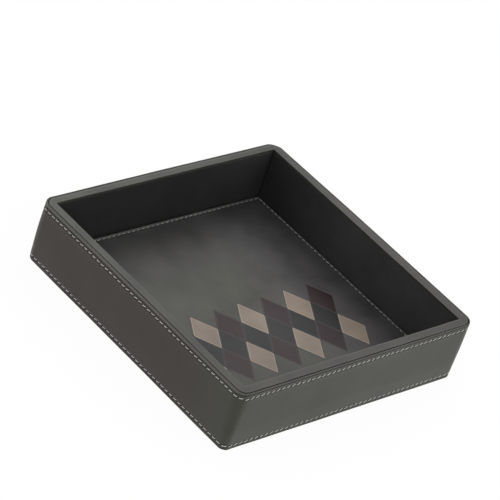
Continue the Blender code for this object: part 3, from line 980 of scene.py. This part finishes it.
def make_studio():
    """A white floor under an even white sky, and two large softboxes on the right, behind and in front."""
    scene = bpy.context.scene
    scene.view_settings.view_transform = "Standard"

    world = bpy.data.worlds.new("studio")
    world.use_nodes = True
    background = world.node_tree.nodes["Background"]
    background.inputs["Color"].default_value = (1, 1, 1, 1)
    background.inputs["Strength"].default_value = 1.0
    scene.world = world

    material, tree, shader = new_material("studio_floor")
    shader.inputs["Base Color"].default_value = (FLOOR_WHITE, FLOOR_WHITE, FLOOR_WHITE, 1)
    shader.inputs["Roughness"].default_value = 1.0
    shader.inputs["Specular IOR Level"].default_value = 0.0
    glow = add_node(tree, "ShaderNodeEmission", {"Color": (1, 1, 1, 1), "Strength": 1.0})
    ray = add_node(tree, "ShaderNodeLightPath").outputs
    seen = add_math(tree, "MAXIMUM", ray["Is Camera Ray"], ray["Is Glossy Ray"])
    seen = add_math(tree, "MAXIMUM", seen, ray["Is Transmission Ray"])
    share = add_math(tree, "MULTIPLY", seen, FLOOR_GLOW)
    mixed = add_node(tree, "ShaderNodeMixShader", {0: share, 1: shader.outputs[0], 2: glow.outputs[0]})
    output = next(n for n in tree.nodes if n.type == "OUTPUT_MATERIAL")
    tree.links.new(mixed.outputs[0], output.inputs["Surface"])
    half = FLOOR_SIZE / 2
    corners = [(-half, -half, 0), (half, -half, 0), (half, half, 0), (-half, half, 0)]
    mesh = bpy.data.meshes.new("studio_floor")
    mesh.from_pydata(corners, [], [(0, 1, 2, 3)])
    mesh.materials.append(material)
    floor = bpy.data.objects.new("studio_floor", mesh)
    scene.collection.objects.link(floor)

    for name, (way, radiance) in (("rear_softbox", REAR_SOFTBOX), ("front_softbox", FRONT_SOFTBOX)):
        light = bpy.data.lights.new(name, "AREA")
        light.shape = "SQUARE"
        light.size = SOFTBOX_SIZE
        light.energy = radiance * math.pi * SOFTBOX_SIZE ** 2
        softbox = bpy.data.objects.new(name, light)
        way = Vector(way).normalized()
        softbox.location = way * SOFTBOX_AWAY
        softbox.rotation_euler = way.to_track_quat("Z", "Y").to_euler()
        scene.collection.objects.link(softbox)


def make_camera():
    """The camera, turned from the point that it looks at."""
    azimuth, elevation = math.radians(CAMERA_AZIMUTH), math.radians(CAMERA_ELEVATION)
    back = Vector((
        math.cos(elevation) * math.cos(azimuth),
        math.cos(elevation) * math.sin(azimuth),
        math.sin(elevation),
    ))
    right = Vector((0, 0, 1)).cross(back).normalized()
    level = Matrix((right, back.cross(right), back)).transposed()
    camera = bpy.data.objects.new("camera", bpy.data.cameras.new("camera"))
    camera.data.lens = CAMERA_LENS
    camera.data.clip_end = 20
    turn = level @ Matrix.Rotation(math.radians(CAMERA_ROLL), 3, "Z")
    camera.matrix_world = Matrix.Translation(Vector(CAMERA_TARGET) + back * CAMERA_DISTANCE) @ turn.to_4x4()
    bpy.context.scene.collection.objects.link(camera)
    bpy.context.scene.camera = camera


# The tray in its studio

make_camera()
make_studio()

# Painted light: the front of the band, and its top from just under the lip, take a lighter, greener tone
front_lit_tone = (0.0220, 0.0225, 0.0115)
lining_wear_and_sheen = grey(0.07)
charcoal = make_leather(
    "charcoal_leather",
    (0.0165, 0.0072, 0.0012),
    (0.105, 0.099, 0.088),
    0.42,
    painted_light_drifts=(
        ((0, -1, 0), 45 * MM, 90 * MM, front_lit_tone),
        ((0, 0, 1), 43.2 * MM, 44.0 * MM, front_lit_tone),
    ),
)
# Painted shade: the rim's tone darkens towards the front right, and at the rear right corner
rim_charcoal = make_leather(
    "rim_charcoal_leather",
    (0.0415, 0.0415, 0.0305),
    (0.085, 0.082, 0.072),
    0.42,
    painted_light_drifts=(
        ((0.77, -0.64, 0), -135 * MM, 135 * MM, (0.0145, 0.0115, 0.0070)),
        ((0.7, 0.7, 0), 110 * MM, 140 * MM, (0.0050, 0.0060, 0.0010)),
    ),
    patchy=0.35,
)
# Painted light: one lining leather in two copies, a darker one for the long rear and front walls that
# lightens towards the right, and a lighter one for the short walls that darkens towards the rear
long_charcoal = make_leather(
    "long_lining_leather",
    grey(0.0155),
    lining_wear_and_sheen,
    0.50,
    ior=1.4,
    painted_light_drifts=(((1, 0, 0), 20 * MM, 85 * MM, grey(0.030)),),
)
short_charcoal = make_leather(
    "short_lining_leather",
    grey(0.035),
    lining_wear_and_sheen,
    0.50,
    ior=1.4,
    painted_light_drifts=(((0, 1, 0), 10 * MM, 70 * MM, grey(0.018)),),
)
# Painted light: the floor's tone is lighter over its rear half and towards the right, and darker near the
# rear wall and the right wall, where their shade falls
floor_charcoal = make_leather(
    "floor_charcoal_leather",
    (0.0380, 0.0375, 0.0265),
    (0.085, 0.084, 0.080),
    0.42,
    painted_light_drifts=(
        ((0, 1, 0), 36 * MM, 56 * MM, (0.0500, 0.0485, 0.0440)),
        ((1, 0, 0), 20 * MM, 58 * MM, (0.0580, 0.0540, 0.0575)),
        ((0, 1, 0), 58 * MM, 98 * MM, (0.0300, 0.0290, 0.0305)),
        ((1, 0, 0), 76 * MM, 90 * MM, (0.0400, 0.0385, 0.0400)),
    ),
    patchy=0.3,
)
inlay_leathers = {
    "taupe": make_leather("taupe_leather", (0.235, 0.185, 0.145), (0.36, 0.30, 0.25), 0.48),
    "graphite": make_leather("graphite_leather", (0.004, 0.005, 0.0045), (0.04, 0.042, 0.04), 0.50),
    "burgundy": make_leather("burgundy_leather", (0.016, 0.002, 0.005), (0.05, 0.03, 0.035), 0.50),
}
linen = make_thread("linen_thread", (0.74, 0.73, 0.68))
# Painted shade: the floor's thread is the same linen, painted darker for the shade by the walls
shaded_floor_linen = make_thread("shaded_floor_linen_thread", (0.44, 0.43, 0.395))
felt = make_felt("felt", grey(0.010))
board = make_board("fibre_board", (0.20, 0.15, 0.11))

make_band(charcoal)
make_rim(rim_charcoal)
make_lining("rear", 0, long_charcoal)
make_lining("left", 1, short_charcoal)
make_lining("front", 2, long_charcoal)
make_lining("right", 3, short_charcoal)
make_floor(floor_charcoal)
make_inlay(inlay_leathers)
make_threads(linen, shaded_floor_linen)
make_felt_pad(felt)
for node in ("base_board", "front_wall_board", "right_wall_board", "rear_wall_board", "left_wall_board"):
    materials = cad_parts[node].data.materials
    materials.clear()
    materials.append(board)

bpy.context.view_layer.update()
